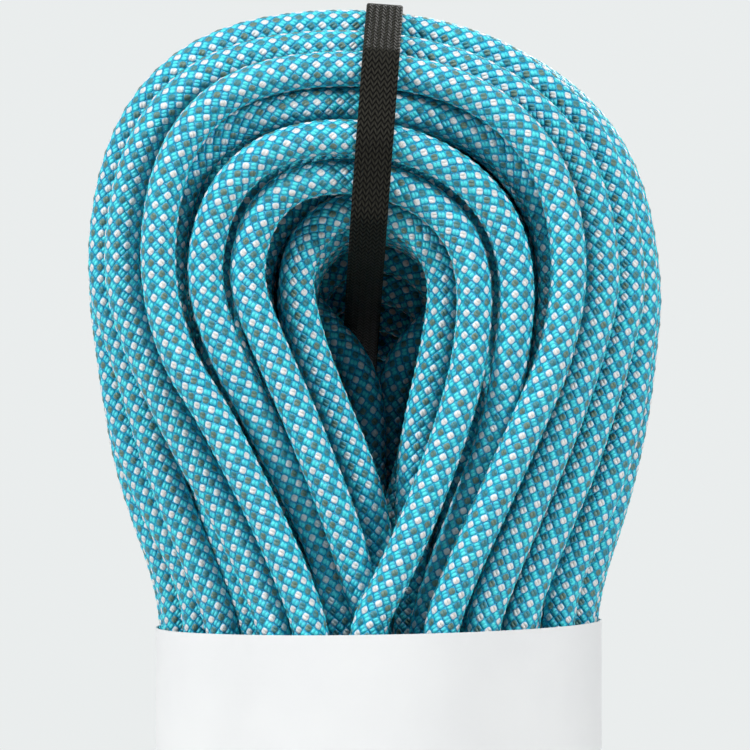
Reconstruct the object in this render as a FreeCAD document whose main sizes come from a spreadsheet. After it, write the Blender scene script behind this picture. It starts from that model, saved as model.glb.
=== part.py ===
"""A 60 m dynamic climbing rope as it leaves the maker: eleven flat laps in one upright hank,
a webbing strap through the eye of the crown and a paper sleeve round the waist.

Millimetres, +Z up. The origin is on the floor under the middle of the foot. +X is to the right
of someone who faces the front, and the laps are stacked from the front (-Y) to the back (+Y).
"""
import FreeCAD
import Part
import Sketcher
import math
import os

V = FreeCAD.Vector

doc = FreeCAD.newDocument("climbing_rope")

# ---------------------------------------------------------------- driving dimensions
SIZES = {
    # rope
    "rope_diameter": 9.8,
    "core_bore": 7.2,            # inside of the braided sheath
    "core_clearance": 0.05,      # between the core strands and the sheath
    # laps: flat coils of rope, one behind the other
    "lap_pitch": 9.5,            # from one lap to the next
    "edge_round": 4.4,           # the rope's own roundness along a lap's rim
    # crown
    "crown_radius": 80.0,        # outermost turn of the fullest laps
    "crown_round": 20.6,         # how much smaller the front and back laps are
    "crown_lean": 5.0,           # the front and back laps lie a little to the left
    "eye_radius": 16.0,          # inside the innermost turn
    "eye_round": 15.0,           # how much wider the eye opens towards the front lap
    "eye_tail": 66.0,            # from the eye's centre down to where the legs meet
    "rear_drop": 44.0,           # the crown slopes down towards the back
    # waist, held straight by the sleeve
    "shoulder_height": 90.0,     # from the sleeve's top edge to the crown's centre
    "waist_half_width": 61.0,
    "sleeve_height": 188.0,
    "sleeve_travel": 15.0,
    "waist_margin": 2.0,         # straight rope past the sleeve's edges
    "waist_blend": 40.0,         # largest radius of the bend from the waist to crown and foot
    # foot
    "foot_height": 60.0,         # where the foot is widest
    "leg_height": 116.0,         # from there to the sleeve's bottom edge
    "foot_half_width": 76.0,
    "foot_lift": 15.0,           # the front and back laps hang clear of the floor
    "foot_packing": 0.92,        # turns lie closer here than in the crown
    "foot_eye_tail": 50.0,       # from the lower eye's centre up to where the legs meet
    # sleeve
    "paper_thickness": 0.4,
    "sleeve_clearance": 0.35,
    "sleeve_depth_margin": 3.7,  # so that the oval clears the corners of the laps
    "sleeve_overlap": 30.0,
    "sleeve_skew": 1.0,          # degrees, as wrapped by hand
    # strap
    "strap_width": 10.0,
    "strap_thickness": 1.1,
    "strap_clearance": 0.9,
    "strap_offset": -4.2,        # where the strap's plane crosses the eye's axis
    "strap_tilt": 4.2,           # degrees, its top to the right
    "strap_sag": 6.0,            # it hangs free inside the eye by this much
    "strap_overlap": 24.0,
    "stitch_row": 2.4,
    "stitch_gap": 7.0,
    "stitch_height": 0.4,
    "stitch_margin": 1.0,
    # rope ends
    "tail_length": 92.0,         # from under the sleeve to the end
    "tail_gap": 0.3,
    "tip_height": 3.6,
    "marker_length": 34.0,
    "marker_wall": 0.4,
    "marker_setback": 9.0,       # from the fused tip to the marker
}

sheet = doc.addObject("Spreadsheet::Sheet", "Sizes")
for row, (alias, number) in enumerate(SIZES.items(), start=1):
    sheet.set(f"A{row}", alias)
    sheet.set(f"B{row}", str(number))
    sheet.setAlias(f"B{row}", alias)
doc.recompute()


def cell(alias):
    """A driving dimension, as an expression."""
    return f"Sizes.{alias}"


def now(expression):
    """The number that an expression has with the present sizes."""
    return float(sheet.evalExpression(expression))


# ---------------------------------------------------------------- what follows from them
LAPS = 11
MIDDLE = LAPS // 2
ROPE_RADIUS = f"({cell('rope_diameter')} / 2)"
SLEEVE_LOW = f"({cell('foot_height')} + {cell('leg_height')})"
SLEEVE_HIGH = f"({SLEEVE_LOW} + {cell('sleeve_height')})"
WAIST_LOW = f"({SLEEVE_LOW} - {cell('sleeve_travel')} - {cell('waist_margin')})"
WAIST_HIGH = f"({SLEEVE_HIGH} + {cell('waist_margin')})"
CROWN_HEIGHT = f"({SLEEVE_HIGH} + {cell('shoulder_height')})"


def depth_share(lap):
    """-1 at the front of the hank, 0 in its middle lap, 1 at the back."""
    return (lap - MIDDLE) / (LAPS / 2)


def lap_sizes(lap):
    """The sizes of one lap, as expressions of the driving dimensions."""
    share = depth_share(lap)
    side = abs(share)
    behind = max(0.0, share)
    before = max(0.0, -share)
    outer = f"({cell('crown_radius')} - {cell('crown_round')} * {side ** 3:.5f})"
    eye = f"({cell('eye_radius')} + {cell('eye_round')} * {before ** 6:.5f})"
    base = f"({cell('foot_lift')} * {side ** 12:.5f})"
    foot_eye = f"({base} + ({outer} - {eye}) * {cell('foot_packing')} + {eye})"
    return {
        "outer": outer,
        "eye": eye,
        "base": base,
        "foot_eye": foot_eye,
        "lean": f"(-{cell('crown_lean')} * {side ** 2:.5f})",
        "crown": f"({CROWN_HEIGHT} - {cell('rear_drop')} * {behind:.5f})",
        "waist": f"({cell('waist_half_width')} * {math.sqrt(1 - share ** 2):.5f})",
        "foot": f"({outer} * {cell('foot_half_width')} / {cell('crown_radius')})",
        "depth": f"({cell('lap_pitch')} * {lap - MIDDLE})",
    }


def flare_radius(side, height):
    """Radius of the arc that leaves a vertical line and has moved this far sideways at height."""
    return f"(({side} * {side} + {height} * {height}) / (2 * {side}))"


# ---------------------------------------------------------------- sketch helpers
def origin_plane(body, role):
    for feature in body.Origin.OriginFeatures:
        if feature.Role == role:
            return feature
    raise ValueError(role)


def new_sketch(body, name, role):
    sketch = body.newObject("Sketcher::SketchObject", name)
    sketch.AttachmentSupport = [(origin_plane(body, role), "")]
    sketch.MapMode = "FlatFace"
    return sketch


def bind(sketch, constraint, expression):
    """Adds one dimension to a sketch and ties it to an expression."""
    index = sketch.addConstraint(constraint)
    sketch.setExpression(f"Constraints[{index}]", expression)


def place_point(sketch, geometry, point, across, up):
    """Fixes one point of a sketch at two expressions."""
    bind(sketch, Sketcher.Constraint("DistanceX", -1, 1, geometry, point, now(across)), across)
    bind(sketch, Sketcher.Constraint("DistanceY", -1, 1, geometry, point, now(up)), up)


STRAIGHT = None


def bulge(radius):
    """A side that curves outwards."""
    return ("bulge", radius)


def hollow(radius):
    """A side that curves inwards."""
    return ("hollow", radius)


def arc_through(start, end, radius):
    """A counter-clockwise arc shorter than half a turn, from start to end."""
    chord = end - start
    middle = (start + end) * 0.5
    inward = V(-chord.y, chord.x, 0).normalize()
    centre = middle + inward * math.sqrt(radius ** 2 - chord.Length ** 2 / 4)
    first = math.atan2(start.y - centre.y, start.x - centre.x)
    last = math.atan2(end.y - centre.y, end.x - centre.x)
    if last < first:
        last += 2 * math.pi
    return Part.ArcOfCircle(Part.Circle(centre, V(0, 0, 1), radius), first, last)


def draw(sketch, corners):
    """A closed outline of lines and arcs, drawn counter-clockwise and tied to expressions.

    Each corner is (across, up, side), where side says what leaves it: STRAIGHT, or a radius
    from bulge or hollow.
    """
    points = [V(now(across), now(up), 0) for across, up, _ in corners]
    sides = []
    for index, (_, _, side) in enumerate(corners):
        start = points[index]
        end = points[(index + 1) % len(points)]
        if side is STRAIGHT:
            geometry = sketch.addGeometry(Part.LineSegment(start, end))
            sides.append((geometry, 1, 2))
        elif side[0] == "bulge":
            geometry = sketch.addGeometry(arc_through(start, end, now(side[1])))
            sides.append((geometry, 1, 2))
        else:
            geometry = sketch.addGeometry(arc_through(end, start, now(side[1])))
            sides.append((geometry, 2, 1))
    for index, (geometry, _, last) in enumerate(sides):
        following, first, _ = sides[(index + 1) % len(sides)]
        sketch.addConstraint(Sketcher.Constraint("Coincident", geometry, last, following, first))
    for (geometry, first, _), (across, up, side) in zip(sides, corners):
        place_point(sketch, geometry, first, across, up)
        if side is not STRAIGHT:
            bind(sketch, Sketcher.Constraint("Radius", geometry, now(side[1])), side[1])


def pad(body, sketch, name, length, both_ways):
    """Pads a sketch by an expression."""
    feature = body.newObject("PartDesign::Pad", name)
    feature.Profile = sketch
    feature.SideType = "Symmetric" if both_ways else "One side"
    feature.setExpression("Length", length)
    return feature


# ---------------------------------------------------------------- the laps
def flare(wide, narrow, z_wide, z_narrow):
    """The S from the waist's straight side to a wider place: its radii and the point between."""
    side = f"({wide} - {narrow})"
    whole = flare_radius(side, f"({z_wide} - {z_narrow})")
    blend = f"min({cell('waist_blend')}; {whole} / 2)"
    share = f"(1 - {blend} / {whole})"
    middle = (f"({wide} - {side} * {share})", f"({z_wide} - ({z_wide} - {z_narrow}) * {share})")
    return bulge(f"({whole} - {blend})"), middle, hollow(blend)


def lap_corners(lap):
    """The outer outline of a lap, from the crown's right side round by the left."""
    z_crown = lap["crown"]
    z_foot = cell("foot_height")
    foot_radius = f"({z_foot} - {lap['base']})"
    flat = f"({lap['foot']} - {foot_radius})"
    left = f"({lap['outer']} - {lap['lean']})"
    right = f"({lap['outer']} + {lap['lean']})"
    waist = lap["waist"]
    left_arc, left_turn, left_blend = flare(left, waist, z_crown, WAIST_HIGH)
    right_arc, right_turn, right_blend = flare(right, waist, z_crown, WAIST_HIGH)
    leg_arc, leg_turn, leg_blend = flare(lap["foot"], waist, z_foot, WAIST_LOW)
    return [
        (right, z_crown, bulge(lap["outer"])),
        (lap["lean"], f"{z_crown} + {lap['outer']}", bulge(lap["outer"])),
        (f"-{left}", z_crown, left_arc),
        (f"-{left_turn[0]}", left_turn[1], left_blend),
        (f"-{waist}", WAIST_HIGH, STRAIGHT),
        (f"-{waist}", WAIST_LOW, leg_blend),
        (f"-{leg_turn[0]}", leg_turn[1], leg_arc),
        (f"-{lap['foot']}", z_foot, bulge(foot_radius)),
        (f"-{flat}", lap["base"], STRAIGHT),
        (flat, lap["base"], bulge(foot_radius)),
        (lap["foot"], z_foot, leg_arc),
        (leg_turn[0], leg_turn[1], leg_blend),
        (waist, WAIST_LOW, STRAIGHT),
        (waist, WAIST_HIGH, right_blend),
        (right_turn[0], right_turn[1], right_arc),
    ]


def eye_corners(lap):
    """The eye in the crown: round above, its sides meeting in a point below."""
    z_crown = lap["crown"]
    left = f"({lap['eye']} - {lap['lean']})"
    right = f"({lap['eye']} + {lap['lean']})"
    tail = cell("eye_tail")
    return [
        (right, z_crown, bulge(lap["eye"])),
        (lap["lean"], f"{z_crown} + {lap['eye']}", bulge(lap["eye"])),
        (f"-{left}", z_crown, bulge(flare_radius(left, tail))),
        ("0", f"{z_crown} - {tail}", bulge(flare_radius(right, tail))),
    ]


def foot_eye_corners(lap):
    """The same below the sleeve, upside down."""
    z_eye = lap["foot_eye"]
    tail = cell("foot_eye_tail")
    side = bulge(flare_radius(lap["eye"], tail))
    return [
        (lap["eye"], z_eye, side),
        ("0", f"{z_eye} + {tail}", side),
        (f"-{lap['eye']}", z_eye, bulge(lap["eye"])),
        ("0", f"{z_eye} - {lap['eye']}", bulge(lap["eye"])),
    ]


def rim_edges(shape, half_depth):
    """Names of the edges round the outside of a lap, on its front and its back."""
    rims = []
    for face in shape.Faces:
        flat = abs(abs(face.CenterOfMass.y) - half_depth) < 1e-4
        if flat and abs(face.normalAt(0, 0).y) > 0.999:
            rims.extend(face.OuterWire.Edges)
    names = []
    for index, edge in enumerate(shape.Edges, start=1):
        if any(edge.isSame(rim) for rim in rims):
            names.append(f"Edge{index}")
    return names


def cut_tail_slot(body, lap):
    """A straight slot above the lower eye, where a rope end comes out of its lap."""
    half = f"({ROPE_RADIUS} + {cell('marker_wall')} + {cell('tail_gap')})"
    sketch = new_sketch(body, "TailSlotSketch", "XZ_Plane")
    draw(sketch, [
        (half, lap["foot_eye"], STRAIGHT),
        (half, SLEEVE_LOW, STRAIGHT),
        (f"-{half}", SLEEVE_LOW, STRAIGHT),
        (f"-{half}", lap["foot_eye"], STRAIGHT),
    ])
    slot = body.newObject("PartDesign::Pocket", "TailSlot")
    slot.Profile = sketch
    slot.SideType = "Symmetric"
    slot.Type = "ThroughAll"
    doc.recompute()
    return slot


def make_lap(number):
    """One flat lap of rope: its outer shape, with the eye and the lower eye open."""
    lap = lap_sizes(number)
    body = doc.addObject("PartDesign::Body", f"Lap{number + 1:02d}")
    body.Label = f"lap_{number + 1:02d}"
    sketch = new_sketch(body, "Outline", "XZ_Plane")
    draw(sketch, lap_corners(lap))
    draw(sketch, eye_corners(lap))
    draw(sketch, foot_eye_corners(lap))
    slab = pad(body, sketch, "Slab", cell("lap_pitch"), both_ways=True)
    doc.recompute()
    if number in (0, LAPS - 1):
        whole = slab.Shape.Volume
        slab = cut_tail_slot(body, lap)
        if slab.Shape.Volume > whole - 1:
            raise ValueError("the tail slot cut nothing")
    rim = body.newObject("PartDesign::Fillet", "Rim")
    rim.Base = (slab, rim_edges(slab.Shape, now(cell("lap_pitch")) / 2))
    rim.setExpression("Radius", f"min({cell('edge_round')}; {cell('lap_pitch')} / 2.05)")
    body.Tip = rim
    body.setExpression("Placement.Base.y", lap["depth"])
    return body


# ---------------------------------------------------------------- the rope's two ends
def ring_body(label, inner, outer, length):
    """A tube along +Z, from the origin."""
    body = doc.addObject("PartDesign::Body", label.title().replace("_", ""))
    body.Label = label
    sketch = new_sketch(body, "Ring", "XY_Plane")
    for radius in (inner, outer):
        circle = Part.Circle(V(0, 0, 0), V(0, 0, 1), now(radius))
        side = sketch.addGeometry(circle)
        sketch.addConstraint(Sketcher.Constraint("Coincident", side, 3, -1, 1))
        bind(sketch, Sketcher.Constraint("Radius", side, now(radius)), radius)
    pad(body, sketch, "Wall", length, both_ways=False)
    return body


def stand(item, across, depth, up):
    """Ties an object's place to three expressions."""
    item.setExpression("Placement.Base.x", across)
    item.setExpression("Placement.Base.y", depth)
    item.setExpression("Placement.Base.z", up)


def make_core(label, length, depth, up):
    """Seven core strands, side by side inside the sheath."""
    strand_radius = f"({cell('core_bore')} / 6 - {cell('core_clearance')})"
    spacing = f"({cell('core_bore')} / 3)"
    strands = []
    for index in range(7):
        strand = doc.addObject("Part::Cylinder", f"{label}_strand_{index}")
        strand.setExpression("Radius", strand_radius)
        strand.setExpression("Height", length)
        turn = math.radians(60 * index)
        reach = 0 if index == 6 else 1
        stand(
            strand,
            f"{spacing} * {reach * math.cos(turn):.6f}",
            f"{spacing} * {reach * math.sin(turn):.6f}",
            "0",
        )
        strands.append(strand)
    core = doc.addObject("Part::Compound", label.title().replace("_", ""))
    core.Label = label
    core.Links = strands
    stand(core, "0", depth, up)
    return core


def make_tip(label, depth, up):
    """The fused end: sheath and core melted into one rounded button."""
    body = doc.addObject("PartDesign::Body", label.title().replace("_", ""))
    body.Label = label
    sketch = new_sketch(body, "Profile", "XZ_Plane")
    height = cell("tip_height")
    corner = f"({ROPE_RADIUS} * 0.55)"
    shoulder = f"({ROPE_RADIUS} - {corner})"
    draw(sketch, [
        ("0", "0", STRAIGHT),
        (shoulder, "0", bulge(corner)),
        (ROPE_RADIUS, corner, STRAIGHT),
        (ROPE_RADIUS, height, STRAIGHT),
        ("0", height, STRAIGHT),
    ])
    turned = body.newObject("PartDesign::Revolution", "Turned")
    turned.Profile = sketch
    turned.ReferenceAxis = (sketch, ["V_Axis"])
    turned.Angle = 360
    stand(body, "0", depth, up)
    return body


def make_tail(side, lap_number, facing):
    """One rope end, hanging in its lap's lower eye. facing is -1 at the front, 1 at the back."""
    lap = lap_sizes(lap_number)
    reach = f"({ROPE_RADIUS} + {cell('marker_wall')} + {cell('tail_gap')})"
    depth = f"{lap['depth']} + {facing} * ({reach} - {cell('lap_pitch')} / 2)"
    end = f"({SLEEVE_LOW} - {cell('tail_length')})"
    cut = f"({end} + {cell('tip_height')})"
    length = f"({cell('tail_length')} - {cell('tip_height')})"
    bore = f"({cell('core_bore')} / 2)"
    outside = f"({ROPE_RADIUS} + {cell('marker_wall')})"
    sheath = ring_body(f"{side}_end_sheath", bore, ROPE_RADIUS, length)
    stand(sheath, "0", depth, cut)
    marker = ring_body(f"{side}_end_marker", ROPE_RADIUS, outside, cell("marker_length"))
    stand(marker, "0", depth, f"{end} + {cell('marker_setback')}")
    core = make_core(f"{side}_end_core_strands", length, depth, cut)
    tip = make_tip(f"{side}_end_fused_tip", depth, end)
    return [sheath, core, tip, marker]


# ---------------------------------------------------------------- the sleeve
def oval_block(name, across, deep, low, height):
    """An upright oval cylinder."""
    oval = doc.addObject("Part::Ellipse", f"{name}Oval")
    oval.setExpression("MajorRadius", f"max({across}; {deep})")
    oval.setExpression("MinorRadius", f"min({across}; {deep})")
    oval.setExpression("Placement.Rotation.Angle", f"{across} < {deep} ? 90 : 0")
    oval.setExpression("Placement.Base.z", low)
    block = doc.addObject("Part::Extrusion", name)
    block.Base = oval
    block.DirMode = "Custom"
    block.Dir = V(0, 0, 1)
    block.Solid = True
    block.setExpression("LengthFwd", height)
    return block


def boolean(kind, name, base, tool):
    result = doc.addObject(kind, name)
    result.Base = base
    result.Tool = tool
    return result


def make_sleeve():
    """A paper band round the waist, its outer end glued over the inner one at the back."""
    gap = cell("sleeve_clearance")
    across = f"({cell('waist_half_width')} + {gap})"
    deep = f"({cell('lap_pitch')} * {LAPS / 2} + {cell('sleeve_depth_margin')} + {gap})"
    paper = cell("paper_thickness")
    spare = f"(2 * {cell('waist_half_width')} * tan({cell('sleeve_skew')} * 1deg))"
    low = f"({SLEEVE_LOW} - {spare})"
    height = f"({cell('sleeve_height')} + 2 * {spare})"
    inner = oval_block("SleeveInside", across, deep, low, height)
    outer = oval_block("SleeveOutside", f"({across} + {paper})", f"({deep} + {paper})", low, height)
    under = oval_block("OverlapInside", f"({across} + {paper})", f"({deep} + {paper})", low, height)
    over = oval_block(
        "OverlapOutside", f"({across} + 2 * {paper})", f"({deep} + 2 * {paper})", low, height
    )
    band = boolean("Part::Cut", "SleeveBand", outer, inner)
    ring = boolean("Part::Cut", "OverlapRing", over, under)
    window = doc.addObject("Part::Box", "OverlapWindow")
    window.setExpression("Length", cell("sleeve_overlap"))
    window.setExpression("Width", f"2 * {deep}")
    window.setExpression("Height", height)
    stand(window, f"-{cell('sleeve_overlap')} / 2", "0", low)
    overlap = boolean("Part::Common", "SleeveOverlap", ring, window)
    wrapped = boolean("Part::Fuse", "SleeveWrapped", band, overlap)
    trim = doc.addObject("Part::Box", "SleeveTrim")
    trim.setExpression("Length", f"4 * {across}")
    trim.setExpression("Width", f"4 * {deep}")
    trim.setExpression("Height", cell("sleeve_height"))
    skewed = doc.addObject("Part::Compound", "SleeveTrimSkewed")
    skewed.Links = [trim]
    stand(trim, f"-2 * {across}", f"-2 * {deep}", f"-{cell('sleeve_height')} / 2")
    stand(skewed, "0", "0", f"{SLEEVE_LOW} + {cell('sleeve_height')} / 2")
    skewed.Placement.Rotation = FreeCAD.Rotation(V(0, 1, 0), -1)
    skewed.setExpression("Placement.Rotation.Angle", f"-{cell('sleeve_skew')}")
    sleeve = boolean("Part::Common", "PaperSleeve", wrapped, skewed)
    sleeve.Label = "paper_sleeve"
    return sleeve


# ---------------------------------------------------------------- the strap
def strap_stations():
    """Where the strap turns: (depth, height over the eye's axis) of the rope that it bears on."""
    over = []
    for number in range(LAPS):
        lap = lap_sizes(number)
        height = f"{lap['crown']} + {lap['outer']} - {ROPE_RADIUS} - {CROWN_HEIGHT}"
        over.append((lap["depth"], height))
    under = []
    for number in (LAPS - 1, 1, 0):
        lap = lap_sizes(number)
        height = f"{lap['crown']} + {lap['eye']} + {ROPE_RADIUS} - {CROWN_HEIGHT}"
        under.append((lap["depth"], f"{height} - {cell('strap_sag')}"))
    return over + under


def in_strap_place(item):
    """The strap's own place: its plane leans across the eye."""
    stand(item, cell("strap_offset"), "0", CROWN_HEIGHT)
    item.Placement.Rotation = FreeCAD.Rotation(V(0, 1, 0), 1)
    item.setExpression("Placement.Rotation.Angle", cell("strap_tilt"))


def make_strap():
    """A loop of webbing pulled tight over the crown and through the eye, its ends overlapped."""
    path_body = doc.addObject("PartDesign::Body", "StrapPathBody")
    path = new_sketch(path_body, "StrapPath", "YZ_Plane")
    draw(path, [(depth, height, STRAIGHT) for depth, height in strap_stations()])
    inside = doc.addObject("Part::Offset2D", "StrapInside")
    inside.Source = path
    inside.setExpression("Value", f"{ROPE_RADIUS} + {cell('strap_clearance')}")
    ribbon = doc.addObject("Part::Offset2D", "StrapRibbon")
    ribbon.Source = inside
    ribbon.setExpression("Value", cell("strap_thickness"))
    ribbon.Fill = True
    loop = doc.addObject("Part::Extrusion", "StrapLoop")
    loop.Base = ribbon
    loop.DirMode = "Custom"
    loop.Dir = V(1, 0, 0)
    loop.Solid = True
    loop.Symmetric = True
    loop.setExpression("LengthFwd", cell("strap_width"))
    last = lap_sizes(LAPS - 1)
    high = f"({last['crown']} + {last['outer']} - {ROPE_RADIUS} - {CROWN_HEIGHT})"
    low = f"({last['crown']} + {last['eye']} + {ROPE_RADIUS} - {CROWN_HEIGHT} - {cell('strap_sag')})"
    middle = f"({high} + {low}) / 2"
    back = f"({last['depth']} + {ROPE_RADIUS} + {cell('strap_clearance')} + {cell('strap_thickness')})"
    overlap = doc.addObject("Part::Box", "StrapOverlap")
    overlap.setExpression("Length", cell("strap_width"))
    overlap.setExpression("Width", cell("strap_thickness"))
    overlap.setExpression("Height", cell("strap_overlap"))
    stand(overlap, f"-{cell('strap_width')} / 2", back, f"{middle} - {cell('strap_overlap')} / 2")
    strap = boolean("Part::Fuse", "HangStrap", loop, overlap)
    strap.Label = "hang_strap"
    in_strap_place(strap)
    rows = []
    for index in (-1, 0, 1):
        row = doc.addObject("Part::Box", f"StitchRow{index + 2}")
        row.setExpression("Length", f"{cell('strap_width')} - 2 * {cell('stitch_margin')}")
        row.setExpression("Width", cell("stitch_height"))
        row.setExpression("Height", cell("stitch_row"))
        stand(
            row,
            f"{cell('stitch_margin')} - {cell('strap_width')} / 2",
            f"{back} + {cell('strap_thickness')}",
            f"{middle} - {cell('stitch_row')} / 2 + {index} * {cell('stitch_gap')}",
        )
        rows.append(row)
    stitching = doc.addObject("Part::Compound", "StrapStitching")
    stitching.Label = "strap_stitching"
    stitching.Links = rows
    in_strap_place(stitching)
    return [strap, stitching]


# ---------------------------------------------------------------- build, check, write
def check(items):
    """Stops if any object failed, or a piece has no valid solid."""
    for item in doc.Objects:
        if any(word in item.State for word in ("Invalid", "Error")):
            raise ValueError(f"{item.Name} failed: {item.State}")
    for item in items:
        shape = item.Shape
        if shape.isNull() or not shape.isValid() or not shape.Solids:
            raise ValueError(f"{item.Label} has no valid solid")


pieces = [make_lap(number) for number in range(LAPS)]
pieces += make_tail("front", 0, -1)
pieces += make_tail("rear", LAPS - 1, 1)
pieces += make_strap()
pieces.append(make_sleeve())
doc.recompute()
check(pieces)

os.makedirs("parts", exist_ok=True)
for piece in pieces:
    piece.Shape.exportStep(f"parts/{piece.Label}.step")
    box = piece.Shape.BoundBox
    print(
        f"{piece.Label}: {len(piece.Shape.Solids)} solid, {piece.Shape.Volume / 1000:.1f} cm3,"
        f" x {box.XMin:.1f} {box.XMax:.1f}, y {box.YMin:.1f} {box.YMax:.1f},"
        f" z {box.ZMin:.1f} {box.ZMax:.1f}"
    )
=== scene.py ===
# %% [markdown]
# # A hank of climbing rope in Blender
# The object is a new dynamic climbing rope as a shop hangs it: nearly sixty turns of rope, laid in
# eleven flat laps, held at the waist by a paper sleeve and hung by a strap of black webbing. The
# CAD model already says how large everything is. This file gives it its looks, and it lays the
# rope itself, turn by turn, at its real length.

# %% Open the CAD model
import math

import bpy
import numpy as np
from mathutils import Matrix, Vector


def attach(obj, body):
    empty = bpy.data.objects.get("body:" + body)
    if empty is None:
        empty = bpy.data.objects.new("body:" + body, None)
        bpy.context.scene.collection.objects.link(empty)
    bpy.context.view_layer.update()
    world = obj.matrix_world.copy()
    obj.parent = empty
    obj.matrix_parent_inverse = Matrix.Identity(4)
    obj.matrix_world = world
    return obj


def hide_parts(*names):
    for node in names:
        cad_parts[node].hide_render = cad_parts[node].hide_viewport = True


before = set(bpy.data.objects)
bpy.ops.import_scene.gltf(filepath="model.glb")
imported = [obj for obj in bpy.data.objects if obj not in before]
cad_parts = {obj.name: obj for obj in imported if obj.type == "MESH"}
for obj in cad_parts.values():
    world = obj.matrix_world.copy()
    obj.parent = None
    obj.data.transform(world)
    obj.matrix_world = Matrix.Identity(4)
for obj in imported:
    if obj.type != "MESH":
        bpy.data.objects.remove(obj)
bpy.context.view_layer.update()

# %% [markdown]
# ## The camera
# A wide lens close by would make the sleeve bulge and the far laps shrink. So the camera stands
# well back with a long lens, and the hank hardly narrows with distance. It looks level, at a height
# a little under the crown's centre. It comes first, because every later choice is judged through
# it.

# %% Camera
MM = 0.001
CROWN_Z = 454.0
CAMERA_PLACE = (-1.0, -1250.0, CROWN_Z - 20.5)

camera = bpy.data.cameras.new("Camera")
camera.lens = 214.0
camera.sensor_width = 36.0
camera_object = bpy.data.objects.new("Camera", camera)
camera_object.location = [v * MM for v in CAMERA_PLACE]
camera_object.rotation_euler = (math.pi / 2, 0, 0)
bpy.context.collection.objects.link(camera_object)
bpy.context.scene.camera = camera_object
print("camera at", [round(v, 3) for v in camera_object.location])

# %% [markdown]
# ## What the hank is made of
# The rope is 9.8 mm thick. The laps stand side by side, from the front one (number 0) to the back
# one, and each is a flat spiral of a few turns. In the CAD model a lap is one closed solid, and its
# strands can't be read off that. So the CAD source's sizes are written once more here, in
# millimetres, and the rope lies where the CAD says that the hank is.

# %% Sizes of the hank
ROPE = 9.8
LAPS = 11
MIDDLE = LAPS // 2
PITCH = 9.5
TURNS = [3, 4, 6, 6, 6, 6, 6, 6, 6, 5, 4]
SLEEVE_LOW, SLEEVE_HIGH = 176.0, 364.0
OVAL = (61.35, 56.3)  # half the bundle's width and depth inside the sleeve
FOOT_Z = 60.0  # centre of the bows at the foot
LIFT_OFF = 1.6  # spare below the lowest bow
TAIL_END = 87.6  # how low the rope's two ends hang
MIDDLE_RADIUS, OUTER_LOSS = 79.0, 20.0  # the middle lap's, and what the outer laps lack
EYE_RADIUS, FRONT_EYE_GAIN = 16.0, 15.0
LEAN, OUTER_LEAN = 0.7, 4.3  # how far a lap stands to the left
REAR_DROP = 44.0  # how much lower the rearmost crown is
BASE_RISE = 15.0  # how much higher the foot of an outer lap is


def lap_form(lap):
    """A lap's outer radius, eye radius, lean, crown height, depth and lowest point."""
    share = (lap - MIDDLE) / (MIDDLE + 0.5)  # nearly -1 in front and nearly 1 behind
    side, behind, before = abs(share), max(0.0, share), max(0.0, -share)
    return {
        "outer": MIDDLE_RADIUS - OUTER_LOSS * side ** 3,
        "eye": EYE_RADIUS + FRONT_EYE_GAIN * before ** 6,
        "lean": -LEAN - OUTER_LEAN * side ** 2,
        "crown": CROWN_Z - REAR_DROP * behind,
        "depth": PITCH * (lap - MIDDLE),
        "base": BASE_RISE * side ** 12,
    }


print("turns of rope:", sum(TURNS))

# %% [markdown]
# ## Where each turn lies
# Seen from the front, a turn is an arch over the eye, two legs that run down to the sleeve, and a
# bow at the foot. In most laps the turns can be spaced evenly. The turns that one sees best, in
# the three front laps, are placed one by one, because a person laid them and they are not even:
# they leave dark gaps, dip behind each other and cross just above the sleeve.

# %% Crowns laid one by one
# Left side, right side and top, from the crown's centre; then how square the arch is (2 is round),
# how far its top leans to the left, how far its shoulders stand above the crown's centre, and how
# far its top comes forward.
HAND_LAID = {
    (0, 0): (-59.3, 51.2, 61.9, 2.45, 5, 8, 0),
    (0, 1): (-46.8, 37.0, 43.3, 2.2, 5, 4, 5),
    (0, 2): (-35.4, 25.7, 33.0, 2.2, 5, 3, 0),
    (1, 0): (-69.6, 60.8, 68.2, 2.4, 7, 6, 0),
    (1, 1): (-57.0, 48.0, 52.6, 2.4, 5, 6, 6),
    (1, 2): (-43.5, 35.0, 38.0, 2.2, 5, 4, 0),
    (1, 3): (-22.4, 18.1, 24.3, 2.1, 2, 2, 0),
    (2, 0): (-74.6, 68.1, 74.5, 2.4, 7, 5, 0),
}
print("crowns laid by hand:", len(HAND_LAID))

# %% Crown of every turn
SQUARER, TOP_LEAN, SHOULDERS = 0.4, 7, 5  # what an outermost arch has more than the eye's
UNEVEN = 0.5  # how far a turn may lie from its even place
FOOT_WIDTH, FOOT_EYE = 0.95, 0.92  # the foot against the crown
rng = np.random.default_rng(7)


def between(outer, inner, inward):
    """A value between the outermost turn's, at inward 0, and the innermost turn's, at 1."""
    return outer * (1 - inward) + inner * inward


def plain_arch(lean, radius, outward):
    """An arch like its neighbours: nearly round, a little squarer the further out it lies."""
    shape = [2 + SQUARER * outward, TOP_LEAN * outward, SHOULDERS * outward, 0]
    return np.array([lean - radius, lean + radius, radius] + shape)


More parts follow.
